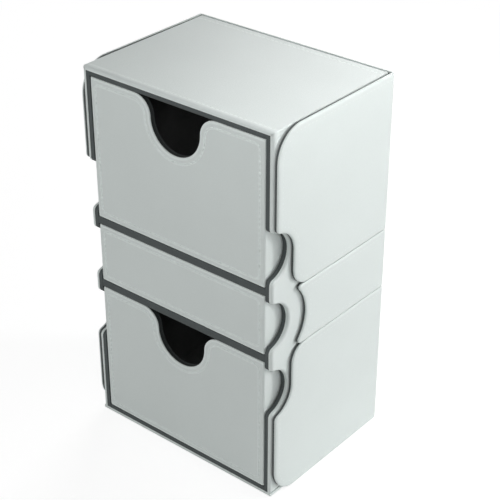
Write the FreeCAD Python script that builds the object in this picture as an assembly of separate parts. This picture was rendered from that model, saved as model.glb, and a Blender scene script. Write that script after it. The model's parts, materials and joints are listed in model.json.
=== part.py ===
"""Playing card box with three drawers and three removable covers.

A tall shell of board, wrapped in a pale skin, holds an upper and a lower card drawer with a
shallow accessory drawer between them. Finger notches are cut in the front edges of the side
walls and in the fronts of the card drawers. Three U-shaped covers, held by magnets, are pushed
on from behind, and their wings stop just short of the front. Their edges run round the notches.

Millimetres. +X is to the right, the front looks towards -Y and +Z is up. The origin is the
middle of the footprint, on the surface that the box stands on.
"""

import FreeCAD, Part
import math
import os

from FreeCAD import Vector

# ---- Driving dimensions -------------------------------------------------------------------

# Drawers
drawer_width = 97.6
drawer_depth = 73.0
card_drawer_height = 68.5
accessory_drawer_height = 29.6
drawer_skin = 0.7
drawer_front_board = 2.0
drawer_side_board = 1.5
drawer_back_board = 1.5
drawer_bottom_board = 1.2
drawer_lining = 0.5
drawer_corner_radius = 0.9

# Finger notch in the front of a card drawer
finger_notch_radius = 14.0
finger_notch_shoulder = 8.9

# Running clearances of a drawer in its bay
side_clearance = 0.3
under_clearance = 0.2
over_clearance = 0.4
rear_clearance = 0.5

# Shell
wall_board = 2.1
deck_board = 2.1
divider_board = 3.6
back_board = 2.1
shell_skin = 1.8
shell_edge_radius = 0.5

# Grip notches in the front edges of the side walls
grip_radius = 11.5
grip_shoulder = 2.5
grip_pitch = 34.3

# Covers
cover_gap = 0.2
cover_lining = 0.25
cover_board = 0.85
cover_skin = 1.0
cover_setback = 0.6
cover_floor_gap = 0.2
cover_seam = 0.2
cover_end_radius = 14.5
cover_seam_radius = 9.0
cover_grip_margin = 0.6
cover_fold_radius = 1.5
scoop_radius = 19.0
scoop_depth = 21.1
scoop_tip_radius = 1.5

# Magnets
magnet_length = 16.0
magnet_height = 6.0
wall_magnet_thickness = 1.5
magnet_spread = 36.0

# ---- Derived sizes ------------------------------------------------------------------------

bay_half_width = drawer_width / 2 + side_clearance
wall_half_width = bay_half_width + wall_board
shell_half_width = wall_half_width + shell_skin

bay_depth = drawer_depth + rear_clearance
board_depth = bay_depth + back_board
shell_depth = board_depth + shell_skin

drawer_headroom = under_clearance + over_clearance
card_bay = card_drawer_height + drawer_headroom
accessory_bay = accessory_drawer_height + drawer_headroom
floor_level = shell_skin + deck_board
lower_divider_level = floor_level + card_bay
accessory_bay_level = lower_divider_level + divider_board
upper_divider_level = accessory_bay_level + accessory_bay
upper_bay_level = upper_divider_level + divider_board
ceiling_level = upper_bay_level + card_bay
wall_top = ceiling_level + deck_board
shell_height = wall_top + shell_skin
middle_level = accessory_bay_level + accessory_bay / 2

lining_half_width = shell_half_width + cover_gap
cover_board_half_width = lining_half_width + cover_lining
cover_skin_half_width = cover_board_half_width + cover_board
cover_half_width = cover_skin_half_width + cover_skin
lining_depth = shell_depth + cover_gap
cover_board_depth = lining_depth + cover_lining
cover_skin_depth = cover_board_depth + cover_board
total_depth = cover_skin_depth + cover_skin

front_y = -total_depth / 2
lower_seam_level = accessory_bay_level
upper_seam_level = upper_divider_level
magnet_depth = shell_depth / 2
cut_margin = 5.0

grip_levels = [middle_level - grip_pitch, middle_level, middle_level + grip_pitch]


# ---- Helpers ------------------------------------------------------------------------------

def box(x0, x1, y0, y1, z0, z1):
    """A box between two corners; y is the depth behind the front plane."""
    return Part.makeBox(x1 - x0, y1 - y0, z1 - z0, Vector(x0, y0, z0))


def line(start, end):
    return Part.makeLine(start, end)


def arc(start, centre, end):
    """The shorter arc from start to end round a centre."""
    towards_middle = (start - centre).normalize() + (end - centre).normalize()
    middle = centre + towards_middle.normalize() * (start - centre).Length
    return Part.Arc(start, middle, end).toShape()


def prism(edges, direction):
    """A solid swept straight from a closed outline."""
    return Part.Face(Part.Wire(edges)).extrude(direction)


def point_towards(centre, target, distance):
    return centre + (target - centre).normalize() * distance


def side_point(depth, level, x=0.0):
    """A point of a side view: depth behind the front, height, at a given x."""
    return Vector(x, depth, level)


def save(shape, name):
    placed = shape.copy()
    placed.translate(Vector(0, front_y, 0))
    placed.exportStep("parts/" + name + ".step")
    print(name, "volume", round(placed.Volume, 1), "valid", placed.isValid())


# ---- Outlines that several pieces share -----------------------------------------------------

def grip_cutter(level):
    """A grip notch: a half-round on the front plane whose mouth opens in two shoulders."""
    left = -shell_half_width - cut_margin
    centre = side_point(0, level, left)
    reach = math.sqrt((grip_radius + grip_shoulder) ** 2 - grip_shoulder ** 2)
    edges = []
    ends = []
    for side in (1, -1):
        mouth = side_point(0, level + side * reach, left)
        shoulder = side_point(grip_shoulder, level + side * reach, left)
        tangent = point_towards(centre, shoulder, grip_radius)
        edges.append(arc(mouth, shoulder, tangent))
        ends.append((mouth, tangent))
    deepest = side_point(grip_radius, level, left)
    edges.append(Part.Arc(ends[0][1], deepest, ends[1][1]).toShape())
    outside = [mouth + Vector(0, -cut_margin, 0) for mouth, tangent in ends]
    edges.append(line(ends[0][0], outside[0]))
    edges.append(line(outside[0], outside[1]))
    edges.append(line(outside[1], ends[1][0]))
    ordered = Part.__sortEdges__(edges)
    return prism(ordered, Vector(-2 * left, 0, 0))


def finger_notch_cutter(top):
    """The notch in a card drawer's front: a half-round below two quarter-round shoulders."""
    centre_level = top - finger_notch_shoulder
    mouth = finger_notch_radius + finger_notch_shoulder
    above = top + cut_margin
    edges = []
    for side in (1, -1):
        lip = Vector(side * mouth, -cut_margin, top)
        shoulder = Vector(side * mouth, -cut_margin, centre_level)
        flank = Vector(side * finger_notch_radius, -cut_margin, centre_level)
        edges.append(arc(lip, shoulder, flank))
        edges.append(line(lip, Vector(side * mouth, -cut_margin, above)))
    edges.append(line(Vector(mouth, -cut_margin, above), Vector(-mouth, -cut_margin, above)))
    lowest = Vector(0, -cut_margin, centre_level - finger_notch_radius)
    left_flank = Vector(-finger_notch_radius, -cut_margin, centre_level)
    right_flank = Vector(finger_notch_radius, -cut_margin, centre_level)
    edges.append(Part.Arc(left_flank, lowest, right_flank).toShape())
    ordered = Part.__sortEdges__(edges)
    depth = drawer_skin + drawer_front_board + drawer_lining + 2 * cut_margin
    return prism(ordered, Vector(0, depth, 0))


def end_cover_outline(seam_level, end_level, grip_level):
    """Side view of the upper or lower cover, swept over the whole width.

    From the seam the front edge rises round a corner, follows the grip notch out to the
    setback line and ends in the large corner at the top or bottom of the box.
    """
    side = 1 if end_level > seam_level else -1
    left = -cover_half_width - cut_margin
    recess = grip_radius + cover_grip_margin
    grip = side_point(0, grip_level, left)
    rear = total_depth + cut_margin
    shoulder_depth = cover_setback + grip_shoulder
    reach = math.sqrt((recess + grip_shoulder) ** 2 - shoulder_depth ** 2)
    shoulder = side_point(shoulder_depth, grip_level + side * reach, left)
    mouth = side_point(cover_setback, grip_level + side * reach, left)
    tangent = point_towards(grip, shoulder, recess)
    recess_end = side_point(recess, grip_level, left)

    seam_rear = side_point(rear, seam_level, left)
    seam_front = side_point(recess + cover_seam_radius, seam_level, left)
    seam_corner_level = seam_level + side * cover_seam_radius
    seam_corner = side_point(recess + cover_seam_radius, seam_corner_level, left)
    recess_start = side_point(recess, seam_corner_level, left)

    end_corner_level = end_level - side * cover_end_radius
    end_corner = side_point(cover_setback + cover_end_radius, end_corner_level, left)
    end_front = side_point(cover_setback, end_corner_level, left)
    end_start = side_point(cover_setback + cover_end_radius, end_level, left)
    end_rear = side_point(rear, end_level, left)

    edges = [
        line(seam_rear, seam_front),
        arc(seam_front, seam_corner, recess_start),
        line(recess_start, recess_end),
        arc(recess_end, grip, tangent),
        arc(tangent, shoulder, mouth),
        line(mouth, end_front),
        arc(end_front, end_corner, end_start),
        line(end_start, end_rear),
        line(end_rear, seam_rear),
    ]
    return prism(edges, Vector(-2 * left, 0, 0))


def middle_cover_outline(bottom, top):
    """Side view of the middle cover: a shallow scoop between two small rounded tips."""
    left = -cover_half_width - cut_margin
    middle = (bottom + top) / 2
    centre = side_point(scoop_depth - scoop_radius, middle, left)
    rear = total_depth + cut_margin
    rise = (top - bottom) / 2 - scoop_tip_radius
    reach = math.sqrt((scoop_radius + scoop_tip_radius) ** 2 - rise ** 2)
    tip_depth = scoop_depth - scoop_radius + reach
    upper_tip = side_point(tip_depth, middle + rise, left)
    lower_tip = side_point(tip_depth, middle - rise, left)
    upper_tangent = point_towards(centre, upper_tip, scoop_radius)
    lower_tangent = point_towards(centre, lower_tip, scoop_radius)
    upper_front = side_point(tip_depth, top, left)
    lower_front = side_point(tip_depth, bottom, left)
    upper_rear = side_point(rear, top, left)
    lower_rear = side_point(rear, bottom, left)
    edges = [
        line(lower_rear, lower_front),
        arc(lower_front, lower_tip, lower_tangent),
        arc(lower_tangent, centre, upper_tangent),
        arc(upper_tangent, upper_tip, upper_front),
        line(upper_front, upper_rear),
        line(upper_rear, lower_rear),
    ]
    return prism(edges, Vector(-2 * left, 0, 0))


def magnet_pairs(inner_x, thickness, levels):
    """Flat bar magnets in the right and the left wall, from inner_x outwards, at each level."""
    front = magnet_depth - magnet_length / 2
    rear = magnet_depth + magnet_length / 2
    bars = []
    for level in levels:
        below = level - magnet_height / 2
        above = level + magnet_height / 2
        bars.append(box(inner_x, inner_x + thickness, front, rear, below, above))
        bars.append(box(-inner_x - thickness, -inner_x, front, rear, below, above))
    return Part.makeCompound(bars)


# ---- Shell --------------------------------------------------------------------------------

def make_shell(levels_with_magnets):
    cutters = [grip_cutter(level) for level in grip_levels]
    pocket_floor = wall_half_width - wall_magnet_thickness
    magnets = magnet_pairs(pocket_floor, wall_magnet_thickness, levels_with_magnets)

    right_wall = box(bay_half_width, wall_half_width, 0, board_depth, shell_skin, wall_top)
    left_wall = box(-wall_half_width, -bay_half_width, 0, board_depth, shell_skin, wall_top)
    save(right_wall.cut(cutters + [magnets]), "shell_right_wall")
    save(left_wall.cut(cutters + [magnets]), "shell_left_wall")
    save(magnets, "shell_magnets")

    decks = {
        "shell_bottom_board": (shell_skin, deck_board, board_depth),
        "lower_divider": (lower_divider_level, divider_board, bay_depth),
        "upper_divider": (upper_divider_level, divider_board, bay_depth),
        "shell_top_board": (ceiling_level, deck_board, board_depth),
    }
    for name, (level, thickness, depth) in decks.items():
        save(box(-bay_half_width, bay_half_width, 0, depth, level, level + thickness), name)
    back = box(-bay_half_width, bay_half_width, bay_depth, board_depth, floor_level, ceiling_level)
    save(back, "shell_back_wall")

    save(make_shell_skin().cut(cutters), "shell_skin")
    back_skin = box(-wall_half_width, wall_half_width, board_depth, shell_depth, shell_skin, wall_top)
    save(back_skin, "back_skin")
    base = box(-shell_half_width, shell_half_width, 0, shell_depth, 0, shell_skin)
    save(base, "base_skin")


def make_shell_skin():
    """The wrap over the left side, the top and the right side."""
    half = shell_half_width
    bend = shell_edge_radius
    top = shell_height
    lower_left = Vector(-half, 0, shell_skin)
    lower_right = Vector(half, 0, shell_skin)
    edges = [
        line(lower_left, Vector(-half, 0, top - bend)),
        arc(Vector(-half, 0, top - bend), Vector(bend - half, 0, top - bend), Vector(bend - half, 0, top)),
        line(Vector(bend - half, 0, top), Vector(half - bend, 0, top)),
        arc(Vector(half - bend, 0, top), Vector(half - bend, 0, top - bend), Vector(half, 0, top - bend)),
        line(Vector(half, 0, top - bend), lower_right),
        line(lower_right, lower_left),
    ]
    outer = prism(edges, Vector(0, shell_depth, 0))
    rear = shell_depth + cut_margin
    inner = box(-wall_half_width, wall_half_width, -cut_margin, rear, 0, wall_top)
    return outer.cut(inner)


# ---- Drawers ------------------------------------------------------------------------------

def rounded_front_block(height, level):
    """The drawer's outer block, with its two upright front edges rounded."""
    half = drawer_width / 2
    bend = drawer_corner_radius
    depth = drawer_depth
    edges = [
        line(Vector(-half, depth, level), Vector(-half, bend, level)),
        arc(Vector(-half, bend, level), Vector(bend - half, bend, level), Vector(bend - half, 0, level)),
        line(Vector(bend - half, 0, level), Vector(half - bend, 0, level)),
        arc(Vector(half - bend, 0, level), Vector(half - bend, bend, level), Vector(half, bend, level)),
        line(Vector(half, bend, level), Vector(half, depth, level)),
        line(Vector(half, depth, level), Vector(-half, depth, level)),
    ]
    return prism(edges, Vector(0, 0, height))


def make_drawer(name, level, height, has_notch):
    """A board tray, wrapped at the front and sides, lined inside and open at the top."""
    top = level + height
    board_half = drawer_width / 2 - drawer_skin
    inner_half = board_half - drawer_side_board
    front_inner = drawer_skin + drawer_front_board
    back_inner = drawer_depth - drawer_back_board
    bottom_top = level + drawer_bottom_board

    lined_half = inner_half - drawer_lining
    lining = box(-inner_half, inner_half, front_inner, back_inner, bottom_top, top)
    hollow = box(-lined_half, lined_half, front_inner + drawer_lining, back_inner - drawer_lining,
                 bottom_top + drawer_lining, top + cut_margin)
    lining = lining.cut(hollow)

    wrap = rounded_front_block(height, level)
    wrap_inside = box(-board_half, board_half, drawer_skin, drawer_depth + cut_margin,
                      level - cut_margin, top + cut_margin)
    skin = wrap.cut(wrap_inside)
    front = box(-board_half, board_half, drawer_skin, front_inner, level, top)
    if has_notch:
        notch = finger_notch_cutter(top)
        skin = skin.cut(notch)
        front = front.cut(notch)
        lining = lining.cut(notch)
    save(skin, name + "_skin")
    save(front, name + "_front_board")
    save(box(inner_half, board_half, front_inner, drawer_depth, level, top), name + "_right_side")
    save(box(-board_half, -inner_half, front_inner, drawer_depth, level, top), name + "_left_side")
    save(box(-inner_half, inner_half, back_inner, drawer_depth, level, top), name + "_back")
    save(box(-inner_half, inner_half, front_inner, back_inner, level, bottom_top), name + "_bottom")
    save(lining, name + "_lining")


# ---- Covers -------------------------------------------------------------------------------

def cover_skin_block(bottom, top):
    """The outer block of a cover, with its two upright back edges rounded."""
    half = cover_half_width
    bend = cover_fold_radius
    rear = total_depth
    edges = [
        line(Vector(-half, 0, bottom), Vector(-half, rear - bend, bottom)),
        arc(Vector(-half, rear - bend, bottom), Vector(bend - half, rear - bend, bottom),
            Vector(bend - half, rear, bottom)),
        line(Vector(bend - half, rear, bottom), Vector(half - bend, rear, bottom)),
        arc(Vector(half - bend, rear, bottom), Vector(half - bend, rear - bend, bottom),
            Vector(half, rear - bend, bottom)),
        line(Vector(half, rear - bend, bottom), Vector(half, 0, bottom)),
        line(Vector(half, 0, bottom), Vector(-half, 0, bottom)),
    ]
    return prism(edges, Vector(0, 0, top - bottom))


def make_cover(name, bottom, top, outline, magnet_levels):
    """Three boards between an outer skin and a lining, cut to one side outline."""
    skin_inside = box(-cover_skin_half_width, cover_skin_half_width, -cut_margin, cover_skin_depth,
                      bottom - cut_margin, top + cut_margin)
    skin = cover_skin_block(bottom, top).cut(skin_inside)
    lining_block = box(-cover_board_half_width, cover_board_half_width, 0, cover_board_depth,
                       bottom, top)
    lining_inside = box(-lining_half_width, lining_half_width, -cut_margin, lining_depth,
                        bottom - cut_margin, top + cut_margin)
    lining = lining_block.cut(lining_inside)
    magnets = magnet_pairs(cover_board_half_width, cover_board, magnet_levels)
    right = box(cover_board_half_width, cover_skin_half_width, 0, cover_board_depth, bottom, top)
    left = box(-cover_skin_half_width, -cover_board_half_width, 0, cover_board_depth, bottom, top)
    back = box(-cover_skin_half_width, cover_skin_half_width, cover_board_depth, cover_skin_depth,
               bottom, top)

    save(skin.common(outline), name + "_skin")
    save(lining.common(outline), name + "_lining")
    save(right.common(outline).cut(magnets), name + "_right_board")
    save(left.common(outline).cut(magnets), name + "_left_board")
    save(back, name + "_back_board")
    save(magnets, name + "_magnets")


# ---- The whole box --------------------------------------------------------------------------

def main():
    os.makedirs("parts", exist_ok=True)

    lower_cover_top = lower_seam_level - cover_seam / 2
    middle_cover_bottom = lower_seam_level + cover_seam / 2
    middle_cover_top = upper_seam_level - cover_seam / 2
    upper_cover_bottom = upper_seam_level + cover_seam / 2
    lower_cover_middle = (cover_floor_gap + lower_cover_top) / 2
    upper_cover_middle = (upper_cover_bottom + shell_height) / 2
    lower_magnets = [lower_cover_middle - magnet_spread / 2, lower_cover_middle + magnet_spread / 2]
    upper_magnets = [upper_cover_middle - magnet_spread / 2, upper_cover_middle + magnet_spread / 2]

    make_shell(lower_magnets + [middle_level] + upper_magnets)

    lower_level = floor_level + under_clearance
    accessory_level = accessory_bay_level + under_clearance
    upper_level = upper_bay_level + under_clearance
    make_drawer("lower_drawer", lower_level, card_drawer_height, True)
    make_drawer("middle_drawer", accessory_level, accessory_drawer_height, False)
    make_drawer("upper_drawer", upper_level, card_drawer_height, True)

    lower_outline = end_cover_outline(lower_cover_top, cover_floor_gap, grip_levels[0])
    make_cover("lower_cover", cover_floor_gap, lower_cover_top, lower_outline, lower_magnets)
    middle_outline = middle_cover_outline(middle_cover_bottom, middle_cover_top)
    make_cover("middle_cover", middle_cover_bottom, middle_cover_top, middle_outline, [middle_level])
    upper_outline = end_cover_outline(upper_cover_bottom, shell_height, grip_levels[2])
    make_cover("upper_cover", upper_cover_bottom, shell_height, upper_outline, upper_magnets)

    print("shell", 2 * shell_half_width, shell_depth, shell_height)
    print("overall", 2 * cover_half_width, total_depth, shell_height)


main()
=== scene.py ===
"""Looks of a playing card box with three drawers and three removable covers.

Metres, in the frame's own axes: +X is to the right, the front looks towards -Y and +Z is up.
Each skin is drawn flat, with its rolled edge and its pressed seam, and then folded round its
boards. Boards and linings keep the frame's shapes, with their sharp edges eased.
"""

import json
import math
import random

import bmesh
import bpy
from bpy.props import FloatProperty, FloatVectorProperty, IntProperty, PointerProperty
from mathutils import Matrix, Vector
from mathutils.geometry import intersect_line_line_2d, tessellate_polygon


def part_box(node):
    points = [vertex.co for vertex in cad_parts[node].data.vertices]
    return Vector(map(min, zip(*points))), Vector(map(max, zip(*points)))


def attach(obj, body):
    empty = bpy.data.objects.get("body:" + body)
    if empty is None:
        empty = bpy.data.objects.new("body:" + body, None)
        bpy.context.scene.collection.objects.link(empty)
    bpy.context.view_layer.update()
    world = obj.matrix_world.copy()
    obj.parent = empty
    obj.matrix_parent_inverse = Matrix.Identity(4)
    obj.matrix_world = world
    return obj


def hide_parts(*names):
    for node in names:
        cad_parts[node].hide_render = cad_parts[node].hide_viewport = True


bl_info = {
    "name": "Card box with drawers",
    "version": (1, 0, 0),
    "blender": (4, 5, 0),
    "location": "View3D > Sidebar > Card Box",
    "description": "Dresses a card box: folded skins, seams, boards, linings and a pale stage",
    "category": "Object",
}

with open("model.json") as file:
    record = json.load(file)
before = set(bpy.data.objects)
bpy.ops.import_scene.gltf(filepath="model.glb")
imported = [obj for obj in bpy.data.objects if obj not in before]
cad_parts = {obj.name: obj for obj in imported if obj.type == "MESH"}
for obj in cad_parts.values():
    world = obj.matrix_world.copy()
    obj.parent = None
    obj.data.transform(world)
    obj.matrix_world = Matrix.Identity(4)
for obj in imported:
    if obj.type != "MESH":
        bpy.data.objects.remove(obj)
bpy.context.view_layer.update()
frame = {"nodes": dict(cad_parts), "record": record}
LEVELS = ("lower", "middle", "upper")
SLOTS = {part["node"]: part["material_slot"] for part in frame["record"]["subparts"]}
FULL_TURN = 2 * math.pi
QUARTER = math.pi / 2
SAME_PLACE = 1e-6

# Fineness of the meshes, and how many points ahead a loop is searched for crossings.
ARC_STEP = math.radians(7.5)
ARC_CHORD = 0.0011
FOLD_STEPS = 6
ROLL_STEPS = 6
GROOVE_STEPS = 8
EASED_STEPS = 2
THREAD_SIDES = 8
TIGHT_CORNER = 60

# Angles from which an edge is shaded hard or gets eased, and below which it's dissolved as flat.
HARD_EDGE = math.radians(50)
EASED_EDGE = math.radians(40)
FLAT_EDGE = math.radians(0.5)

# A stitch from end to end: place along it, girth and rise, as shares of half its size.
THREAD_SECTIONS = ((-1.0, 0.25, -0.75), (-0.72, 0.8, -0.1), (-0.3, 1.0, 0.3),
                   (0.3, 1.0, 0.3), (0.72, 0.8, -0.1), (1.0, 0.25, -0.75))

# Slant of a stitch and its spread in degrees, the shares that its length varies between, and
# the lift of a sunk stitch in thread widths.
STITCH_SLANT = 5.0
SLANT_SPREAD = 3.0
STITCH_SPREAD = (0.93, 1.04)
SUNK_STITCH = -0.3

# Depth of the back boards' band, a skin's unrolled rear strip, half the width of a web that
# never reaches a fold, where the lining rims that get painted shade start and how far their
# faces turn up or across.
BACK_BAND = 0.003
REAR_STRIP = 0.0001
UNFOLDED = 1.0
RIM_START = 0.005
RIM_FACING = 0.3

# Name, place, target, width and height of each lamp, and the setting with its power.
LAMPS = (
    ("key lamp", (0.66, 0.62, 0.25), (0.05, 0.0, 0.09), 0.15, 0.15, "key_power"),
    ("side lamp", (0.78, 0.27, 0.11), (0.05, 0.0, 0.05), 0.6, 0.2, "side_power"),
    ("front lamp", (-0.45, -0.80, 0.35), (0.0, 0.0, 0.12), 0.5, 0.5, "front_power"),
    ("back lamp", (-0.35, 0.80, 0.45), (0.0, 0.0, 0.18), 0.5, 0.3, "back_power"),
    ("strip lamp", (0.10, 0.0, 0.30), (0.03, 0.0, 0.18), 0.6, 0.05, "strip_power"),
    ("fill lamp", (0.45, -0.55, 0.55), (0.0, 0.0, 0.1), 0.3, 0.3, "fill_power"),
)

# Half the floor's side, the camera's sensor in millimetres and the nearest that it sees.
FLOOR_HALF = 3.0
SENSOR_WIDTH = 36.0
NEAREST_SEEN = 0.01


# ---- Settings ----

def setting(kind, **own):
    """A maker of settings of one kind, each with its name, description and default."""
    return lambda name, description, default: kind(name=name, description=description,
                                                   default=default, **own)


length = setting(FloatProperty, min=0.0, precision=5, subtype="DISTANCE", unit="LENGTH")
position = setting(FloatVectorProperty, size=3, precision=5, subtype="TRANSLATION",
                   unit="LENGTH")
colour = setting(FloatVectorProperty, size=3, min=0.0, max=1.0, subtype="COLOR")
share = setting(FloatProperty, min=0.0, max=1.0, subtype="FACTOR")
power = setting(FloatProperty, min=0.0, unit="POWER")
focal_length = setting(FloatProperty, min=1.0, unit="CAMERA")
choice = setting(IntProperty)


class CutSettings(bpy.types.PropertyGroup):
    """Radii and insets of the cut outlines."""

    finger_radius: length("Finger notch radius", "Half-round at the bottom of a finger notch", 0.0140)
    finger_shoulder: length("Finger notch shoulder", "Quarter-round at a notch's lips", 0.0089)
    grip_radius: length("Grip radius", "Half-round of a grip notch in a side wall", 0.0115)
    grip_shoulder: length("Grip shoulder", "Rounding where a grip notch meets the front", 0.0025)
    grip_pitch: length("Grip pitch", "Distance between two grip notches", 0.0343)
    shell_fold: length("Shell fold radius", "Rounding of the shell's long top edges", 0.0005)
    drawer_fold: length("Drawer fold radius", "Rounding of a drawer's upright corners", 0.0009)
    cover_fold: length("Cover fold radius", "Rounding of a cover's back corners", 0.0015)
    cover_setback: length("Cover setback", "How far a cover's wings stop behind the front", 0.0006)
    cover_grip_margin: length("Grip margin", "Gap from a grip notch to the cover's edge", 0.0006)
    cover_end_radius: length("Cover end radius", "Large corner at the top or the foot", 0.0145)
    cover_seam_radius: length("Cover seam radius", "Corner beside the seam between covers", 0.0090)
    top_seam_reach: length("Top seam reach", "How far the top's seam runs down the sides", 0.022)
    scoop_radius: length("Scoop radius", "Scoop in the middle cover's wings", 0.0190)
    scoop_depth: length("Scoop depth", "How far the scoop reaches behind the front", 0.0211)
    scoop_tip_radius: length("Scoop tip radius", "Rounded tips above and below the scoop", 0.0015)


class SkinSettings(bpy.types.PropertyGroup):
    """The pale skin, its rolled edge and its pressed seam."""

    tint: colour("Skin colour", "Colour of the leatherette", (0.718, 0.775, 0.757))
    roll_width: length("Rolled edge width", "How far the rounding of an edge reaches in", 0.0011)
    roll_depth: length("Rolled edge depth", "How far the rounding of an edge drops", 0.00036)
    shell_roll_width: length("Shell rolled edge width", "The same on the shell's wrap", 0.0013)
    shell_roll_depth: length("Shell rolled edge depth", "The same on the shell's wrap", 0.00105)
    cover_roll_width: length("Cover rolled edge width", "The same on the covers", 0.0019)
    cover_roll_depth: length("Cover rolled edge depth", "The same on the covers", 0.0005)
    # Rim colour is the skin lightened: a painted highlight on the drawers' rolled edges and on the
    # grooves of the drawer and shell top seams. The covers' stitches wear it as their thread colour.
    highlight_and_stitch_tint: colour("Rim colour", "Colour of a drawer's burnished rim", (0.785, 0.846, 0.827))
    seam_inset: length("Seam inset", "Distance from an edge to the pressed seam", 0.0029)
    seam_width: length("Seam width", "Half the width of the pressed groove", 0.0007)
    seam_depth: length("Seam depth", "Depth of the pressed groove", 0.00016)
    shell_seam_depth: length("Shell seam depth", "Depth of the groove on the shell", 0.00006)
    cover_seam_depth: length("Cover seam depth", "Depth of the groove on a cover", 0.00002)
    seam_corner: length("Seam corner", "Rounding of the outline that a seam follows", 0.0052)
    grain_size: length("Grain size", "Size of one grain cell", 0.00062)
    grain_depth: length("Grain depth", "Height of the grain", 0.000022)


class StitchSettings(bpy.types.PropertyGroup):
    """The fine thread in the pressed seams."""

    tint: colour("Thread colour", "Colour of the thread", (0.800, 0.860, 0.842))
    pitch: length("Stitch pitch", "Distance between two stitches", 0.0025)
    stitch: length("Stitch length", "Length of a stitch that shows", 0.0021)
    thread: length("Thread width", "Thickness of the thread", 0.00060)
    seed: choice("Seed", "Choice of the stitches' small differences", 7)


class CoreSettings(bpy.types.PropertyGroup):
    """Boards, linings and magnets."""

    board_tint: colour("Board colour", "Colour of the dark board", (0.080, 0.092, 0.092))
    # Drawer board colour is a lighter copy of the board's: painted light in the drawers' dim insides.
    lit_drawer_board_tint: colour("Drawer board colour", "Colour of the drawers' sides, backs and bottoms",
                        (0.135, 0.148, 0.146))
    # A darker copy of the board colour: painted shade on the drawers' front boards in the finger
    # notches and on the drawer linings' rims.
    painted_shade_tint: colour("Blackened colour", "Colour of the drawers' fronts and lining edges",
                       (0.030, 0.034, 0.034))
    lining_tint: colour("Lining colour", "Colour of the soft lining", (0.160, 0.166, 0.164))
    magnet_tint: colour("Magnet colour", "Colour of the magnets' plating", (0.62, 0.62, 0.64))
    back_sink: length("Back board's drop", "How far it ends under the skin's edge", 0.0007)
    wing_sink: length("Wing boards' drop", "How far they end under the skin's edge", 0.00008)
    eased_edge: length("Eased edge", "Rounding of the boards' cut edges", 0.00016)


class StageSettings(bpy.types.PropertyGroup):
    """Camera, lamps and floor."""

    camera_place: position("Camera place", "Where the camera stands",
                           (0.35268, -0.41528, 0.41359))
    camera_target: position("Camera target", "What the camera looks at",
                            (0.00432, 0.00417, 0.09251))
    lens: focal_length("Lens", "Focal length in millimetres", 98.49)
    key_power: power("Key lamp", "Small lamp behind on the right, which shades the notches", 3.2)
    side_power: power("Side lamp", "Low lamp on the right, a little behind", 1.68)
    front_power: power("Front lamp", "Lamp in front on the left", 2.42)
    back_power: power("Back lamp", "Lamp behind on the left", 3.62)
    strip_power: power("Strip lamp", "Long lamp over the top's right edge", 0.347)
    fill_power: power("Fill lamp", "Weak lamp high in front on the right", 0.7)
    sky: share("Surrounding light", "Strength of the even light from all round", 0.053)
    floor_light: share("Floor light", "How light the lamps alone make the open floor", 0.49)
    shadow: share("Floor shadow", "How much of the shadow the floor shows", 0.45)
    shadow_near: length("Shadow's full reach", "Distance to which the floor shows it", 0.2)
    shadow_far: length("Shadow's end", "Distance from which the floor is plain white", 0.6)


class CardBoxSettings(bpy.types.PropertyGroup):
    """All sizes and colours of the card box."""

    cuts: PointerProperty(type=CutSettings)
    skin: PointerProperty(type=SkinSettings)
    stitches: PointerProperty(type=StitchSettings)
    core: PointerProperty(type=CoreSettings)
    stage: PointerProperty(type=StageSettings)


# ---- Shader groups ----

WHITE = (1.0, 1.0, 1.0, 1.0)
MID_GREY = (0.5, 0.5, 0.5, 1.0)


def feed(tree, socket, value):
    """Links an output to an input socket, or gives the socket a plain value."""
    if isinstance(value, bpy.types.NodeSocket):
        tree.links.new(value, socket)
    else:
        socket.default_value = value


def add_node(tree, kind, place, feeds=(), **values):
    """A node at a place in the editor; feeds go to its inputs and values to its properties."""
    node = tree.nodes.new(kind)
    node.location = place
    for name, value in values.items():
        setattr(node, name, value)
    for name, value in dict(feeds).items():
        feed(tree, node.inputs[name], value)
    return node


def math_node(tree, operation, place, first, second):
    """The result of a Math node on two outputs or plain numbers."""
    return add_node(tree, "ShaderNodeMath", place, {0: first, 1: second},
                    operation=operation).outputs[0]


def map_range(tree, place, value, source=(0.0, 1.0), target=(0.0, 1.0), **values):
    """A value carried from one range to another, and kept within it."""
    feeds = {"Value": value, "From Min": source[0], "From Max": source[1],
             "To Min": target[0], "To Max": target[1]}
    return add_node(tree, "ShaderNodeMapRange", place, feeds, clamp=True, **values).outputs[0]


def object_noise(tree, place, scale, detail, roughness):
    """Noise in the piece's own coordinates."""
    coordinates = add_node(tree, "ShaderNodeTexCoord", (place[0] - 200, place[1]))
    return add_node(tree, "ShaderNodeTexNoise", place,
                    {"Vector": coordinates.outputs["Object"], "Scale": scale,
                     "Detail": detail, "Roughness": roughness}).outputs


def start_group(name, inputs, outputs):
    """A shader group, what comes into it and what it puts out.

    inputs and outputs are the sockets' names with their defaults: a number or a colour.
    """
    group = bpy.data.node_groups.new(name, "ShaderNodeTree")
    for direction, sockets in (("INPUT", inputs), ("OUTPUT", outputs)):
        for socket_name, default in sockets.items():
            kind = "NodeSocketColor" if isinstance(default, tuple) else "NodeSocketFloat"
            socket = group.interface.new_socket(socket_name, in_out=direction, socket_type=kind)
            socket.default_value = default
    given = add_node(group, "NodeGroupInput", (-1100, 0)).outputs
    result = add_node(group, "NodeGroupOutput", (700, 0)).inputs
    return group, given, result


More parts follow.
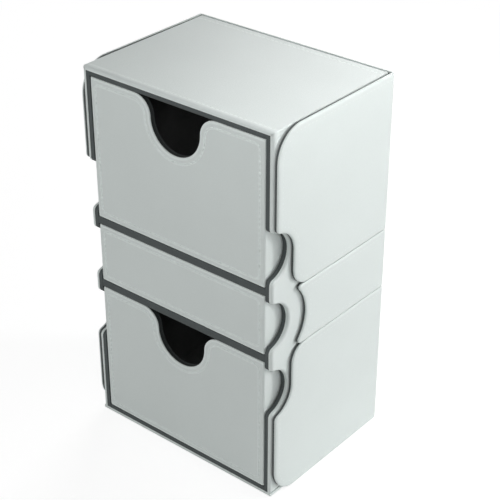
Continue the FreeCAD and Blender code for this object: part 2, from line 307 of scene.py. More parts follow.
def make_mottle_group():
    """Soft clouds between two colours, from patches some centimetres wide down to specks."""
    group, given, result = start_group(
        "Soft mottling",
        {"Colour": MID_GREY, "Deep Colour": MID_GREY, "Patches per Metre": 30.0,
         "Specks per Metre": 1500.0, "Speck Share": 0.3},
        {"Colour": MID_GREY, "Mask": 0.0})
    patches = object_noise(group, (-400, 200), given["Patches per Metre"], 3.0, 0.55)
    specks = object_noise(group, (-400, -200), given["Specks per Metre"], 2.0, 0.6)
    mix = add_node(group, "ShaderNodeMix", (-100, 0),
                   {0: given["Speck Share"], 2: patches[0], 3: specks[0]}, data_type="FLOAT")
    mask = map_range(group, (100, 0), mix.outputs[0], (0.32, 0.68))
    blend = add_node(group, "ShaderNodeMix", (350, 100),
                     {0: mask, 6: given["Deep Colour"], 7: given["Colour"]}, data_type="RGBA")
    feed(group, result["Colour"], blend.outputs[2])
    feed(group, result["Mask"], mask)
    return group


def make_grain_group():
    """Pebbled grain: rounded cells with creases between them, over a finer tooth."""
    group, given, result = start_group(
        "Pebbled grain", {"Cells per Metre": 1600.0, "Tooth": 0.3}, {"Height": 0.0, "Crease": 0.0})
    per_metre = given["Cells per Metre"]
    coordinates = add_node(group, "ShaderNodeTexCoord", (-1000, 300))
    drift = object_noise(group, (-800, 200), per_metre, 1.0, 0.5)
    shifted = add_node(group, "ShaderNodeMix", (-550, 250),
                       {0: 0.0004, 4: coordinates.outputs["Object"], 5: drift[1]},
                       data_type="VECTOR")
    cells = add_node(group, "ShaderNodeTexVoronoi", (-300, 200),
                     {"Vector": shifted.outputs[1], "Scale": per_metre},
                     feature="DISTANCE_TO_EDGE")
    crease = map_range(group, (-50, 200), cells.outputs["Distance"], (0.0, 0.22),
                       interpolation_type="SMOOTHSTEP")
    fine_scale = math_node(group, "MULTIPLY", (-550, -200), per_metre, 3.7)
    tooth = object_noise(group, (-300, -150), fine_scale, 2.0, 0.6)
    weighted = math_node(group, "MULTIPLY", (0, -100), tooth[0], given["Tooth"])
    feed(group, result["Height"], math_node(group, "ADD", (300, 100), crease, weighted))
    feed(group, result["Crease"], crease)
    return group


def make_waver_group():
    """Slow unevenness of a hand-laid sheet, as a height."""
    group, given, result = start_group(
        "Hand-laid waver", {"Waves per Metre": 28.0}, {"Height": 0.0})
    waves = object_noise(group, (-200, 0), given["Waves per Metre"], 1.0, 0.4)
    feed(group, result["Height"], waves[0])
    return group


def shared_group(name):
    """The named shader group, built the first time that it is asked for."""
    makers = {
        "Soft mottling": make_mottle_group,
        "Pebbled grain": make_grain_group,
        "Hand-laid waver": make_waver_group,
    }
    return bpy.data.node_groups.get(name) or makers[name]()


def place_group(tree, name, place, **values):
    """What a shared group puts out in a material; underscores stand for spaces in sockets."""
    feeds = {socket.replace("_", " "): value for socket, value in values.items()}
    return add_node(tree, "ShaderNodeGroup", place, feeds, node_tree=shared_group(name)).outputs


def add_bump(tree, place, height, distance, under=None):
    """The normal of a bump over another one; distance is its real height."""
    feeds = {"Strength": 1.0, "Distance": distance, "Height": height}
    if under is not None:
        feeds["Normal"] = under
    return add_node(tree, "ShaderNodeBump", place, feeds).outputs[0]


# ---- Materials ----

def toned(tint, factor=1.0):
    """An opaque colour, darker or lighter by a factor."""
    return (tint[0] * factor, tint[1] * factor, tint[2] * factor, 1.0)


def new_material(name, tint, roughness):
    """A node material, its tree and its Principled shader."""
    material = bpy.data.materials.new(name)
    material.use_nodes = True
    material.diffuse_color = toned(tint)
    shader = material.node_tree.nodes["Principled BSDF"]
    shader.inputs["Base Color"].default_value = toned(tint)
    shader.inputs["Roughness"].default_value = roughness
    return material, material.node_tree, shader


def mottled(name, tint, pale, deep, patches, specks, speck_share):
    """A material that clouds between two tones, its tree, its shader's inputs and its mask.

    patches and specks are how many of them lie in a metre.
    """
    material, tree, shader = new_material(name, tint, 0.5)
    mottle = place_group(tree, "Soft mottling", (-700, 250), Colour=toned(tint, pale),
                         Deep_Colour=toned(tint, deep), Patches_per_Metre=patches,
                         Specks_per_Metre=specks, Speck_Share=speck_share)
    feed(tree, shader.inputs["Base Color"], mottle["Colour"])
    return material, tree, shader.inputs, mottle["Mask"]


def leatherette(name, tint, skin):
    """Fine-grained satin leatherette that was laid by hand."""
    material, tree, inputs, _ = mottled(name, tint, pale=1.0, deep=0.965, patches=22.0,
                                        specks=900.0, speck_share=0.35)
    grain = place_group(tree, "Pebbled grain", (-700, -100),
                        Cells_per_Metre=1.0 / skin.grain_size, Tooth=0.35)
    feed(tree, inputs["Roughness"],
         map_range(tree, (-400, 50), grain["Crease"], target=(0.62, 0.46)))
    waver = place_group(tree, "Hand-laid waver", (-700, -350), Waves_per_Metre=26.0)
    slow = add_bump(tree, (-400, -350), waver["Height"], 0.00035)
    fine = add_bump(tree, (-200, -200), grain["Height"], skin.grain_depth, slow)
    feed(tree, inputs["Normal"], fine)
    inputs["Specular IOR Level"].default_value = 0.42
    return material


def plain_finish(name, tint, tones, roughness, relief=None, waver=None, **own):
    """A finish with clouds, a relief of fine noise and a slow waver under it.

    tones are what mottled takes, and roughness is one number or the two between which it
    follows the clouds. relief is the noise's scale, detail, roughness and height, waver is
    its waves per metre and height, and own are constants of the shader.
    """
    material, tree, inputs, mask = mottled(name, tint, *tones)
    if isinstance(roughness, tuple):
        roughness = map_range(tree, (-400, 50), mask, target=roughness)
    feed(tree, inputs["Roughness"], roughness)
    under = None
    if waver:
        waves = place_group(tree, "Hand-laid waver", (-700, -450), Waves_per_Metre=waver[0])
        under = add_bump(tree, (-400, -450), waves["Height"], waver[1])
    if relief:
        noise = object_noise(tree, (-500, -250), *relief[:3])
        feed(tree, inputs["Normal"], add_bump(tree, (-250, -250), noise[0], relief[3], under))
    for socket, value in own.items():
        inputs[socket.replace("_", " ")].default_value = value
    return material


def board(name, tint):
    """Matt board with fibres at its cut edges."""
    return plain_finish(name, tint, (1.18, 0.78, 160.0, 4200.0, 0.6), (0.72, 0.88),
                        relief=(5200.0, 3.0, 0.7, 0.00003), Specular_IOR_Level=0.3)


def soft_lining(name, tint):
    """Soft cloth with a short nap."""
    return plain_finish(name, tint, (1.5, 0.7, 45.0, 3000.0, 0.45), 0.95,
                        relief=(6500.0, 2.0, 0.7, 0.00008), waver=(60.0, 0.0003),
                        Sheen_Weight=0.25, Sheen_Roughness=0.4, Specular_IOR_Level=0.2)


def plated_magnet(name, tint):
    """Plated metal, a little dulled in places."""
    return plain_finish(name, tint, (1.0, 0.85, 300.0, 5000.0, 0.3), (0.22, 0.38), Metallic=1.0)


def pale_thread(name, tint):
    """Twisted sewing thread."""
    return plain_finish(name, tint, (1.0, 0.9, 400.0, 7000.0, 0.5), 0.6,
                        relief=(9000.0, 1.0, 0.5, 0.00002))


def finish_named(name, settings):
    """The named material, built the first time that it is asked for."""
    skin, core = settings.skin, settings.core
    finishes = {
        "pale leatherette": (leatherette, skin.tint, skin),
        "burnished rim": (leatherette, skin.highlight_and_stitch_tint, skin),
        "dark greyboard": (board, core.board_tint),
        "drawer board": (board, core.lit_drawer_board_tint),
        "blackened board": (board, core.painted_shade_tint),
        "sealed lining edge": (board, core.painted_shade_tint),
        "soft dark lining": (soft_lining, core.lining_tint),
        "plated magnet": (plated_magnet, core.magnet_tint),
        "pale thread": (pale_thread, settings.stitches.tint),
    }
    maker, *values = finishes[name]
    return bpy.data.materials.get(name) or maker(name, *values)


# ---- Surfaces that a flat pattern is laid on ----

class Fold:
    """A skin that follows one arm of a U, its web and the other arm.

    A place on it is along, across and proud. Along is measured round the U from the middle of
    its web, across runs parallel to the folds, and proud is the height over the outer face.
    The web's outer face lies at outer on the frame's axis, and inward is the sign of the way
    from it to its inner face.
    """

    def __init__(self, axis, outer, inward, half_width=UNFOLDED, radius=0.0):
        self.axis = axis
        self.outer = outer
        self.inward = inward
        self.half_width = half_width
        self.radius = radius
        self.flat_half = half_width - radius
        self.arm_start = self.flat_half + radius * QUARTER

    def along_arm(self, depth):
        """How far along the skin a depth on an arm lies."""
        return self.arm_start + depth - self.radius

    def on_path(self, along):
        """Sideways, depth and the outward direction of a place on the outer face."""
        side = -1.0 if along < 0 else 1.0
        distance = abs(along)
        if distance <= self.flat_half:
            return along, 0.0, 0.0, -1.0
        if distance >= self.arm_start:
            depth = self.radius + distance - self.arm_start
            return side * self.half_width, depth, side, 0.0
        angle = (distance - self.flat_half) / self.radius
        sideways = side * (self.flat_half + self.radius * math.sin(angle))
        depth = self.radius * (1 - math.cos(angle))
        return sideways, depth, side * math.sin(angle), -math.cos(angle)

    def to_frame(self, sideways, depth, across):
        """A frame point from sideways, depth behind the web's outer face and across."""
        behind = self.outer + self.inward * depth
        return Vector((sideways, behind, across) if self.axis == "y"
                      else (sideways, across, behind))

    def place(self, along, across, proud):
        sideways, depth, out_x, out_depth = self.on_path(along)
        return self.to_frame(sideways + proud * out_x, depth + proud * out_depth, across)

    def place_inside(self, along, across, thickness):
        """A place on the inner face, which fits the sharp corners of the boards."""
        sideways, depth = self.on_path(along)[:2]
        limit = self.half_width - thickness
        return self.to_frame(max(-limit, min(limit, sideways)), max(depth, thickness), across)

    def cuts(self):
        """Places along the skin where the flat pattern gets a line to fold at."""
        turn = self.arm_start - self.flat_half
        steps = [self.flat_half + turn * step / FOLD_STEPS for step in range(FOLD_STEPS + 1)]
        return [-step for step in steps] + steps


# ---- Flat outlines ----

def arcs(*bends):
    """Points of arcs one after the other, each (centre, radius, start and end in degrees)."""
    points = []
    for centre, radius, start, end in bends:
        turn = math.radians(end - start)
        steps = max(4, math.ceil(abs(turn) / ARC_STEP), math.ceil(abs(turn) * radius / ARC_CHORD))
        for step in range(steps + 1):
            angle = math.radians(start) + turn * step / steps
            points.append(Vector((centre[0] + radius * math.cos(angle),
                                  centre[1] + radius * math.sin(angle))))
    return points


def without_repeats(points):
    """The closed loop without points that lie on their neighbour."""
    kept = []
    for point in points:
        if not kept or (point - kept[-1]).length > SAME_PLACE:
            kept.append(point)
    while (kept[0] - kept[-1]).length <= SAME_PLACE:
        kept.pop()
    return kept


def rounded_rectangle(low, high, radius, top_cut=()):
    """Anticlockwise loop between two corners; top_cut goes into its top side."""
    left, bottom = low[0] + radius, low[1] + radius
    right, top = high[0] - radius, high[1] - radius
    before = arcs(((left, bottom), radius, 180, 270), ((right, bottom), radius, 270, 360),
                  ((right, top), radius, 0, 90))
    return without_repeats(before + list(top_cut) + arcs(((left, top), radius, 90, 180)))


def finger_notch(cuts, top):
    """The notch in a card drawer's front, from its right lip to its left one."""
    shoulder = cuts.finger_shoulder
    level = top - shoulder
    middle = cuts.finger_radius + shoulder
    return arcs(((middle, level), shoulder, 90, 180), ((0.0, level), cuts.finger_radius, 0, -180),
                ((-middle, level), shoulder, 0, 90))


def grip_edge(cuts, level):
    """A grip notch as (depth, height), from its lower lip to its upper one."""
    shoulder = cuts.grip_shoulder
    reach = math.sqrt((cuts.grip_radius + shoulder) ** 2 - shoulder ** 2)
    turn = math.degrees(math.atan2(reach, shoulder))
    return arcs(((shoulder, level - reach), shoulder, 180, 180 - turn),
                ((0.0, level), cuts.grip_radius, -turn, turn),
                ((shoulder, level + reach), shoulder, 180 + turn, 180))


def end_cover_edge(cuts, seam, end, grip):
    """The front edge of an end cover's wing as (depth, height), from its seam to its end."""
    side = 1.0 if end > seam else -1.0
    recess = cuts.grip_radius + cuts.cover_grip_margin
    depth = cuts.cover_setback + cuts.grip_shoulder
    reach = math.sqrt((recess + cuts.grip_shoulder) ** 2 - depth ** 2)
    turn = math.degrees(math.atan2(reach, depth))
    rise = abs(grip - seam)
    seam_radius = cuts.cover_seam_radius
    end_radius = cuts.cover_end_radius
    corner = (cuts.cover_setback + end_radius, abs(end - seam) - end_radius)
    points = arcs(((recess + seam_radius, seam_radius), seam_radius, 270, 180),
                  ((0.0, rise), recess, 0, turn),
                  ((depth, rise + reach), cuts.grip_shoulder, 180 + turn, 180),
                  (corner, end_radius, 180, 90))
    return [Vector((point.x, seam + side * point.y)) for point in points]


def middle_cover_edge(cuts, bottom, top):
    """The front edge of the middle cover's wing as (depth, height), upwards."""
    middle = (bottom + top) / 2
    tip = cuts.scoop_tip_radius
    rise = (top - bottom) / 2 - tip
    centre = cuts.scoop_depth - cuts.scoop_radius
    reach = math.sqrt((cuts.scoop_radius + tip) ** 2 - rise ** 2)
    turn = math.degrees(math.atan2(rise, reach))
    return arcs(((centre + reach, middle - rise), tip, 270, 180 - turn),
                ((centre, middle), cuts.scoop_radius, -turn, turn),
                ((centre + reach, middle + rise), tip, 180 + turn, 90))


def drawn_together(points):
    """Pulls the small loops past tight corners together into their crossing points."""
    count = len(points)
    result = list(points)
    window = min(TIGHT_CORNER, count // 3)
    step = 0
    while step < count:
        reach = 0
        first, second = result[step], result[(step + 1) % count]
        for ahead in range(2, window):
            third, fourth = result[(step + ahead) % count], result[(step + ahead + 1) % count]
            if (third - fourth).length <= SAME_PLACE or (first - second).length <= SAME_PLACE:
                continue
            crossing = intersect_line_line_2d(first, second, third, fourth)
            if crossing is not None:
                reach, meeting = ahead, crossing
        for index in range(1, reach + 1):
            result[(step + index) % count] = meeting.copy()
        step += reach + 1
    return result


def inset(points, distance):
    """An anticlockwise loop moved inwards, with as many points as before."""
    moved = []
    for index, point in enumerate(points):
        before = (point - points[index - 1]).normalized()
        after = (points[(index + 1) % len(points)] - point).normalized()
        inward_before = Vector((-before.y, before.x))
        inward_after = Vector((-after.y, after.x))
        mitre = (inward_before + inward_after) / (1.0 + inward_before.dot(inward_after))
        moved.append(point + distance * mitre)
    return drawn_together(moved)


# ---- Skins ----

def ring(bm, points, heights):
    """Vertices round a loop; heights is one number or one for each point."""
    if isinstance(heights, float):
        heights = [heights] * len(points)
    return [bm.verts.new((point.x, point.y, height)) for point, height in zip(points, heights)]


def bridge(bm, first, second):
    """Quads between two rings of equal length."""
    count = len(first)
    for index in range(count):
        following = (index + 1) % count
        bm.faces.new((first[index], first[following], second[following], second[index]))


def fill_between(bm, outer, hole):
    """Flat triangles between a ring and a hole in it."""
    corners = outer + hole
    outlines = [[vertex.co for vertex in outer], [vertex.co for vertex in hole]]
    for triangle in tessellate_polygon(outlines):
        bm.faces.new([corners[index] for index in triangle])


def rolled_edge(width, depth):
    """(inset, height) steps of the rounding at a skin's edge, from outside inwards."""
    angles = [QUARTER * step / ROLL_STEPS for step in range(ROLL_STEPS + 1)]
    return [(width * (1 - math.cos(angle)), -depth * (1 - math.sin(angle))) for angle in angles]


def pressed_seam(skin, depth):
    """(inset, height) steps across the pressed groove."""
    offsets = [-1.0 + 2.0 * step / GROOVE_STEPS for step in range(GROOVE_STEPS + 1)]
    return [(skin.seam_inset + skin.seam_width * offset,
             -depth * (0.5 + 0.5 * math.cos(math.pi * offset))) for offset in offsets]


def paint_highlight(bm, start):
    """Gives the second material, the skin lightened as a painted highlight, to the faces made since a
    count.
    """
    bm.faces.ensure_lookup_table()
    for face in bm.faces[start:]:
        face.material_index = 1


def fold_up(bm, surface, thickness):
    """Folds a flat pattern, with the bends as lines in it."""
    for cut in surface.cuts():
        everything = bm.verts[:] + bm.edges[:] + bm.faces[:]
        bmesh.ops.bisect_plane(bm, geom=everything, dist=SAME_PLACE, plane_co=(cut, 0, 0),
                               plane_no=(1, 0, 0))
    for vertex in bm.verts:
        along, across, proud = vertex.co
        if proud < SAME_PLACE - thickness:
            vertex.co = surface.place_inside(along, across, thickness)
        else:
            vertex.co = surface.place(along, across, proud)


def lay_skin(name, node, surface, outline, thickness, settings, guide=None, roll=None,
             groove=None, burnished=(), square_from=math.inf):
    """A skin of real thickness for a node: drawn flat, pressed along a guide and then folded.

    roll is its edge's width and depth, and groove is its seam's depth. burnished names
    the parts, "roll" and "groove", that get the skin lightened as a painted highlight. Its edge
    isn't rounded at places that lie as far across as square_from.
    """
    skin = settings.skin
    bm = bmesh.new()
    back = ring(bm, outline, -thickness)
    edge = back
    for distance, height in rolled_edge(*(roll or (skin.roll_width, skin.roll_depth))):
        points = inset(outline, distance) if distance > 0 else outline
        heights = [0.0 if point.y > square_from else height for point in outline]
        inner = ring(bm, points, heights)
        bridge(bm, edge, inner)
        edge = inner
    # The rolled edge gets the lightened skin: a painted highlight.
    if "roll" in burnished:
        paint_highlight(bm, len(outline))
    if guide is not None:
        grooves = [ring(bm, inset(guide, distance), height)
                   for distance, height in pressed_seam(skin, groove or skin.seam_depth)]
        if guide is outline:
            bridge(bm, edge, grooves[0])
        else:
            fill_between(bm, edge, grooves[0])
        flat_faces = len(bm.faces)
        for first, second in zip(grooves, grooves[1:]):
            bridge(bm, first, second)
        # The groove gets the lightened skin: a painted highlight.
        if "groove" in burnished:
            paint_highlight(bm, flat_faces)
        edge = grooves[-1]
    bm.faces.new(edge)
    bm.faces.new(list(reversed(back)))
    bmesh.ops.remove_doubles(bm, verts=bm.verts[:], dist=SAME_PLACE)
    fold_up(bm, surface, thickness)
    dress(mesh_object(name, bm), "pale leatherette", node, settings,
          "burnished rim" if burnished else None)


def linked(name, data):
    """A new object in the scene."""
    thing = bpy.data.objects.new(name, data)
    bpy.context.scene.collection.objects.link(thing)
    return thing


def mesh_object(name, bm):
    """Closes off a bmesh as a smooth-shaded object whose hard corners stay hard."""
    bmesh.ops.remove_doubles(bm, verts=bm.verts[:], dist=SAME_PLACE)
    bmesh.ops.dissolve_degenerate(bm, edges=bm.edges[:], dist=SAME_PLACE / 10)
    bmesh.ops.recalc_face_normals(bm, faces=bm.faces[:])
    for face in bm.faces:
        face.smooth = True
    for edge in bm.edges:
        edge.smooth = len(edge.link_faces) == 2 and edge.calc_face_angle() < HARD_EDGE
    mesh = bpy.data.meshes.new(name)
    bm.to_mesh(mesh)
    bm.free()
    piece = linked(name, mesh)
    weighted = piece.modifiers.new("Even shading", "WEIGHTED_NORMAL")
    weighted.keep_sharp = True
    return piece


def dress(piece, finish, node, settings, second=None, replaces=True):
    """Gives a piece its materials, and the body of the node that it's laid for."""
    for name in filter(None, (finish, second)):
        piece.data.materials.append(finish_named(name, settings))
    bodies = frame["record"]["behaviour"]["bodies"]
    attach(piece, next(body for body, members in bodies.items() if node in members))
    if replaces:
        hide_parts(node)


# ---- Stitches ----

def along_loop(points, pitch):
    """Evenly spaced (place, direction) pairs round a closed loop, about a pitch apart."""
    loop = without_repeats(points)
    count = len(loop)
    spans = [(loop[(index + 1) % count] - loop[index]).length for index in range(count)]
    total = sum(spans)
    number = max(1, round(total / pitch))
    places = []
    index = 0
    walked = 0.0
    for stitch in range(number):
        target = total * (stitch + 0.5) / number
        while walked + spans[index] < target:
            walked += spans[index]
            index += 1
        start = loop[index]
        direction = (loop[(index + 1) % count] - start).normalized()
        places.append((start + direction * (target - walked), direction))
    return places


def add_stitch(bm, surface, middle, forward, half, half_thread, bottom):
    """One closed stitch with tapered ends that dip into the skin."""
    sideways = Vector((-forward.y, forward.x))
    rings = []
    for reach, girth, sink in THREAD_SECTIONS:
        circle = []
        for side in range(THREAD_SIDES):
            angle = FULL_TURN * side / THREAD_SIDES
            flat = middle + forward * (half * reach)
            flat += sideways * (half_thread * girth * math.cos(angle))
            proud = half_thread * (girth * math.sin(angle) + sink) + bottom
            circle.append(bm.verts.new(surface.place(flat.x, flat.y, proud)))
        rings.append(circle)
    for first, second in zip(rings, rings[1:]):
        bridge(bm, first, second)
    bm.faces.new(list(reversed(rings[0])))
    bm.faces.new(rings[-1])


def sew(name, node, surface, guide, settings, finish="pale thread", lift=0.0):
    """A row of stitches in a skin's pressed seam; lift is in thread widths."""
    skin, stitches = settings.skin, settings.stitches
    chance = random.Random(stitches.seed)
    bm = bmesh.new()
    bottom = lift * stitches.thread - skin.seam_depth
    for middle, direction in along_loop(inset(guide, skin.seam_inset), stitches.pitch):
        slant = math.radians(STITCH_SLANT + chance.uniform(-SLANT_SPREAD, SLANT_SPREAD))
        cosine, sine = math.cos(slant), math.sin(slant)
        forward = Vector((direction.x * cosine - direction.y * sine,
                          direction.x * sine + direction.y * cosine))
        half = stitches.stitch / 2 * chance.uniform(*STITCH_SPREAD)
        add_stitch(bm, surface, middle, forward, half, stitches.thread / 2, bottom)
    dress(mesh_object(name, bm), finish, node, settings, replaces=False)


# ---- Boards and linings ----

def eased_copy(node, edge):
    """The frame's own piece with its cut edges slightly rounded."""
    bm = bmesh.new()
    bm.from_mesh(frame["nodes"][node].data)
    bmesh.ops.remove_doubles(bm, verts=bm.verts[:], dist=SAME_PLACE)
    bmesh.ops.dissolve_limit(bm, angle_limit=FLAT_EDGE, verts=bm.verts[:], edges=bm.edges[:])
    piece = mesh_object(node + ".eased", bm)
    bevel = piece.modifiers.new("Eased edges", "BEVEL")
    bevel.width = edge
    bevel.segments = EASED_STEPS
    bevel.limit_method = "ANGLE"
    bevel.angle_limit = EASED_EDGE
    piece.modifiers.move(1, 0)
    return piece


def sink_top(piece, core):
    """Ends a part of the upper cover a little under the top edge of its skin."""
    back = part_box("upper_cover_skin")[1]
    for vertex in piece.data.vertices:
        sink = core.back_sink if vertex.co.y > back.y - BACK_BAND else core.wing_sink
        vertex.co.z = min(vertex.co.z, back.z - sink)


def shade_rims(piece):
    """Puts the second material, a darker copy of the board that paints shade, on a drawer lining's
    cut rims that face up or across, the notch's included.
    """
    corners = [vertex.co for vertex in piece.data.vertices]
    bottom = min(corner.z for corner in corners) + RIM_START
    inside = max(corner.x for corner in corners) - RIM_START
    for face in piece.data.polygons:
        upward = face.normal.z > RIM_FACING
        across = abs(face.normal.x) > RIM_FACING and abs(face.center.x) < inside
        if face.center.z > bottom and (upward or across):
            face.material_index = 1


def nodes_in(slot):
    """The nodes in a material slot, split into those outside and in the drawers."""
    nodes = sorted(node for node in SLOTS if SLOTS[node] == slot)
    return ([node for node in nodes if "_drawer_" not in node],
            [node for node in nodes if "_drawer_" in node])


def ease_nodes(nodes, finish, settings, rim_shade_finish=None):
    """Eased copies in place of several nodes."""
    for node in nodes:
        piece = eased_copy(node, settings.core.eased_edge)
        if node.startswith("upper_cover"):
            sink_top(piece, settings.core)
        dress(piece, finish, node, settings, rim_shade_finish)
        # A second finish paints shade on the rims.
        if rim_shade_finish:
            shade_rims(piece)


# ---- Places read from the frame ----

def skin_thickness(skin_node, board_node):
    """Thickness of a skin, from the outer faces of the skin and of the board under it."""
    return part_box(skin_node)[1].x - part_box(board_node)[1].x


def grip_levels(settings):
    """Heights of the grip notches, about the middle between the dividers."""
    middle = (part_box("lower_divider")[1].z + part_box("upper_divider")[0].z) / 2
    pitch = settings.cuts.grip_pitch
    return [middle - pitch, middle, middle + pitch]


def mirrored(edge):
    """The edge on the other side of a flat pattern, in the opposite order."""
    return [Vector((-point.x, point.y)) for point in reversed(edge)]


def shell_outline(settings, fold, low, high):
    """The wrap over the left side, the top and the right side, laid flat."""
    edge = []
    for level in grip_levels(settings):
        edge += grip_edge(settings.cuts, level)
    left = [Vector((-fold.along_arm(high.z - point.y), low.y + point.x)) for point in edge]
    end = fold.along_arm(high.z - low.z)
    points = [Vector((-end, low.y))] + left + mirrored(left)
    points += [Vector((end, low.y)), Vector((end, high.y)), Vector((-end, high.y))]
    return without_repeats(points)


def cover_outline(settings, level, fold, low, high):
    """A cover laid flat: its left wing, its back and its right wing."""
    levels = grip_levels(settings)
    if level == "upper":
        edge = end_cover_edge(settings.cuts, low.z, high.z, levels[2])
    elif level == "lower":
        edge = list(reversed(end_cover_edge(settings.cuts, high.z, low.z, levels[0])))
    else:
        edge = middle_cover_edge(settings.cuts, low.z, high.z)
    reach = high.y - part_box("shell_skin")[0].y
    right = [Vector((fold.along_arm(reach - point.x), point.y)) for point in edge]
    return without_repeats([Vector((0.0, low.z))] + right + mirrored(right))


# ---- Operators ----

class CARDBOX_OT_shell_skins(bpy.types.Operator):
    """Folds the shell's wrap over its sides and top, and lays its back and base sheets"""

    bl_idname = "card_box.shell_skins"
    bl_label = "Shell skins"

    def execute(self, context):
        settings = context.scene.card_box
        skin = settings.skin
        thickness = skin_thickness("shell_skin", "shell_right_wall")
        low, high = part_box("shell_skin")
        fold = Fold("z", high.z, -1, high.x, settings.cuts.shell_fold)
        end = fold.along_arm(settings.cuts.top_seam_reach)
        guide = rounded_rectangle((-end, low.y), (end, high.y), skin.seam_corner)
        # The top seam's groove gets the skin lightened as a painted highlight.
        lay_skin("shell_wrap", "shell_skin", fold, shell_outline(settings, fold, low, high),
                 thickness, settings, guide, (skin.shell_roll_width, skin.shell_roll_depth),
                 skin.shell_seam_depth, ("groove",), high.y - REAR_STRIP)
        sew("shell_top_seam", "shell_skin", fold, guide, settings, lift=SUNK_STITCH)

        low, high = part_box("back_skin")
        outline = rounded_rectangle((low.x, low.z), (high.x, high.z), 0.0)
        lay_skin("shell_back_sheet", "back_skin", Fold("y", high.y, -1), outline, thickness,
                 settings)

        low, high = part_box("base_skin")
        outline = rounded_rectangle((low.x, low.y), (high.x, high.y), 0.0)
        lay_skin("shell_base_sheet", "base_skin", Fold("z", low.z, 1), outline, thickness,
                 settings)
        return {"FINISHED"}


class CARDBOX_OT_drawer_skins(bpy.types.Operator):
    """Folds each drawer's skin round its front and sides, with the seam on its front"""

    bl_idname = "card_box.drawer_skins"
    bl_label = "Drawer skins"

    def execute(self, context):
        settings = context.scene.card_box
        for level in LEVELS:
            drawer = level + "_drawer"
            node = drawer + "_skin"
            low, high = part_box(node)
            fold = Fold("y", low.y, 1, high.x, settings.cuts.drawer_fold)
            end = fold.along_arm(high.y - low.y)
            notch = [] if level == "middle" else finger_notch(settings.cuts, high.z)
            foot = [Vector((-end, low.z)), Vector((end, low.z)), Vector((end, high.z))]
            outline = without_repeats(foot + notch + [Vector((-end, high.z))])
            guide = rounded_rectangle((-high.x, low.z), (high.x, high.z),
                                      settings.skin.seam_corner, notch)
            thickness = skin_thickness(node, drawer + "_right_side")
            # The rolled edge and the seam's groove get the skin lightened as a painted highlight.
            lay_skin(drawer + "_wrap", node, fold, outline, thickness, settings, guide,
                     burnished=("roll", "groove"))
            sew(drawer + "_seam", node, fold, guide, settings)
        return {"FINISHED"}


class CARDBOX_OT_cover_skins(bpy.types.Operator):
    """Folds each cover's skin round its back, with the wave-cut wings and their seam"""

    bl_idname = "card_box.cover_skins"
    bl_label = "Cover skins"

    def execute(self, context):
        settings = context.scene.card_box
        skin = settings.skin
        for level in LEVELS:
            cover = level + "_cover"
            node = cover + "_skin"
            low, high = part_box(node)
            fold = Fold("y", high.y, -1, high.x, settings.cuts.cover_fold)
            outline = cover_outline(settings, level, fold, low, high)
            thickness = skin_thickness(node, cover + "_right_board")
            lay_skin(cover + "_wrap", node, fold, outline, thickness, settings, outline,
                     (skin.cover_roll_width, skin.cover_roll_depth), skin.cover_seam_depth)
            # The stitches take the lightened rim colour as their thread colour.
            sew(cover + "_seam", node, fold, outline, settings, "burnished rim", SUNK_STITCH)
        return {"FINISHED"}


class CARDBOX_OT_boards(bpy.types.Operator):
    """Eases the cut edges of every board and gives it its dark finish, lightened as painted light
    inside the drawers and darkened as painted shade on their fronts
    """

    bl_idname = "card_box.boards"
    bl_label = "Boards"

    def execute(self, context):
        settings = context.scene.card_box
        outside, drawers = nodes_in("core_board")
        fronts = [node for node in drawers if node.endswith("_front_board")]
        inner = [node for node in drawers if node not in fronts]
        ease_nodes(outside, "dark greyboard", settings)
        # The drawers' inner boards get the lighter copy, painted light; their front boards the darker
        # copy, painted shade.
        ease_nodes(inner, "drawer board", settings)
        ease_nodes(fronts, "blackened board", settings)
        return {"FINISHED"}


class CARDBOX_OT_linings(bpy.types.Operator):
    """Lines the drawers and the covers with the soft dark cloth, with painted shade on the drawer
    linings' rims
    """

    bl_idname = "card_box.linings"
    bl_label = "Linings"

    def execute(self, context):
        settings = context.scene.card_box
        covers, drawers = nodes_in("dark_lining")
        ease_nodes(covers, "soft dark lining", settings)
        # The drawer linings' rims that face up or across get painted shade.
        ease_nodes(drawers, "soft dark lining", settings, "sealed lining edge")
        return {"FINISHED"}


class CARDBOX_OT_magnets(bpy.types.Operator):
    """Plates the magnets that hold the covers"""

    bl_idname = "card_box.magnets"
    bl_label = "Magnets"

    def execute(self, context):
        ease_nodes(nodes_in("magnet_metal")[0], "plated magnet", context.scene.card_box)
        return {"FINISHED"}


def aim(name, data, place, target):
    """A lamp or a camera at a place, looking at a target."""
    holder = linked(name, data)
    holder.location = place
    holder.rotation_euler = (Vector(target) - Vector(place)).to_track_quat("-Z", "Y").to_euler()
    return holder


def area_lamp(name, place, target, width, height, watts):
    """A white rectangular lamp that isn't seen itself."""
    lamp = bpy.data.lights.new(name, "AREA")
    lamp.shape = "RECTANGLE"
    lamp.size = width
    lamp.size_y = height
    lamp.energy = watts
    aim(name, lamp, place, target).visible_camera = False


def seen_directly(tree, place):
    """1 for rays from the camera, and for those that a glossy or clear surface passes on."""
    path = add_node(tree, "ShaderNodeLightPath", place).outputs
    first = math_node(tree, "MAXIMUM", (place[0] + 200, place[1]),
                      path["Is Camera Ray"], path["Is Glossy Ray"])
    return math_node(tree, "MAXIMUM", (place[0] + 400, place[1]), first,
                     path["Is Transmission Ray"])


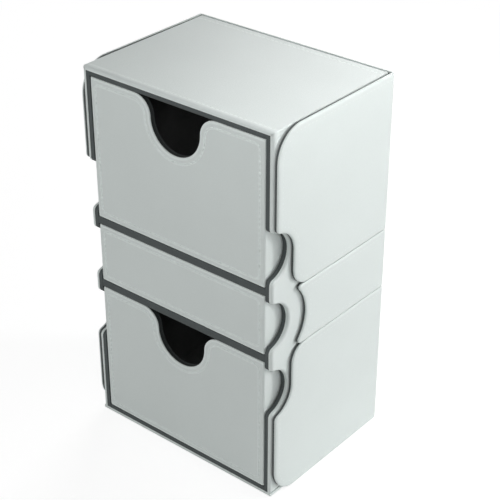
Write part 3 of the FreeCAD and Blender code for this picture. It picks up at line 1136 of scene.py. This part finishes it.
def make_floor(stage):
    """A white floor that keeps a share of the box's shadow.

    Its glow makes up for what the lamps leave short of white on the open floor, and the share
    of the shadow fades out away from the box, where the lamps no longer reach.
    """
    bm = bmesh.new()
    bmesh.ops.create_grid(bm, x_segments=8, y_segments=8, size=FLOOR_HALF)
    mesh = bpy.data.meshes.new("floor")
    bm.to_mesh(mesh)
    bm.free()
    material, tree, shader = new_material("white floor", (0.9, 0.9, 0.9), 0.9)
    shader.inputs["Specular IOR Level"].default_value = 0.0
    place = add_node(tree, "ShaderNodeTexCoord", (-1500, -200))
    away = add_node(tree, "ShaderNodeVectorMath", (-1300, -200), {0: place.outputs["Object"]},
                    operation="LENGTH")
    kept = map_range(tree, (-1100, -200), away.outputs["Value"],
                     (stage.shadow_near, stage.shadow_far), (stage.shadow, 0.0))
    lit = math_node(tree, "MULTIPLY", (-800, -300), kept, stage.floor_light)
    missing = math_node(tree, "SUBTRACT", (-600, -300), 1.0, lit)
    unshaded = math_node(tree, "SUBTRACT", (-600, 0), 1.0, kept)
    strength = math_node(tree, "DIVIDE", (-300, -200), missing, unshaded)
    glow = add_node(tree, "ShaderNodeEmission", (0, -200),
                    {"Color": WHITE, "Strength": strength})
    seen = math_node(tree, "MULTIPLY", (0, 300), seen_directly(tree, (-700, 300)), unshaded)
    mix = add_node(tree, "ShaderNodeMixShader", (300, 0),
                   {0: seen, 1: shader.outputs[0], 2: glow.outputs[0]})
    feed(tree, tree.nodes["Material Output"].inputs["Surface"], mix.outputs[0])
    mesh.materials.append(material)
    linked("floor", mesh)


def make_sky(stage):
    """Even light from all round, seen as white."""
    world = bpy.data.worlds.new("white surroundings")
    world.use_nodes = True
    tree = world.node_tree
    background = tree.nodes["Background"].inputs
    background["Color"].default_value = WHITE
    strength = map_range(tree, (-200, 0), seen_directly(tree, (-900, 0)),
                         target=(stage.sky, 1.0))
    feed(tree, background["Strength"], strength)
    bpy.context.scene.world = world


class CARDBOX_OT_stage(bpy.types.Operator):
    """Sets the floor, the surrounding light, the lamps and the camera"""

    bl_idname = "card_box.stage"
    bl_label = "Stage"

    def execute(self, context):
        stage = context.scene.card_box.stage
        for name, place, target, width, height, power_setting in LAMPS:
            area_lamp(name, place, target, width, height, getattr(stage, power_setting))
        make_sky(stage)
        make_floor(stage)
        camera = bpy.data.cameras.new("camera")
        camera.lens = stage.lens
        camera.sensor_width = SENSOR_WIDTH
        camera.clip_start = NEAREST_SEEN
        context.scene.camera = aim("camera", camera, stage.camera_place, stage.camera_target)
        context.scene.view_settings.view_transform = "Standard"
        return {"FINISHED"}


class CARDBOX_PT_box(bpy.types.Panel):
    """Lists the steps that dress the card box"""

    bl_idname = "CARDBOX_PT_box"
    bl_label = "Card Box"
    bl_space_type = "VIEW_3D"
    bl_region_type = "UI"
    bl_category = "Card Box"

    def draw(self, context):
        for operator in OPERATORS:
            self.layout.operator(operator.bl_idname)
        settings = context.scene.card_box
        for group in (settings.cuts, settings.skin, settings.stitches, settings.core, settings.stage):
            column = self.layout.column(align=True)
            for name in group.__annotations__:
                column.prop(group, name)


OPERATORS = (
    CARDBOX_OT_stage,
    CARDBOX_OT_shell_skins,
    CARDBOX_OT_drawer_skins,
    CARDBOX_OT_cover_skins,
    CARDBOX_OT_boards,
    CARDBOX_OT_linings,
    CARDBOX_OT_magnets,
)
CLASSES = (CutSettings, SkinSettings, StitchSettings, CoreSettings, StageSettings,
           CardBoxSettings, *OPERATORS, CARDBOX_PT_box)


def register():
    for kind in CLASSES:
        bpy.utils.register_class(kind)
    bpy.types.Scene.card_box = PointerProperty(type=CardBoxSettings)


def unregister():
    del bpy.types.Scene.card_box
    for kind in reversed(CLASSES):
        bpy.utils.unregister_class(kind)


def main():
    register()
    bpy.ops.card_box.stage()
    bpy.ops.card_box.shell_skins()
    bpy.ops.card_box.drawer_skins()
    bpy.ops.card_box.cover_skins()
    bpy.ops.card_box.boards()
    bpy.ops.card_box.linings()
    bpy.ops.card_box.magnets()
    bpy.context.view_layer.update()


if __name__ == "__main__":
    main()
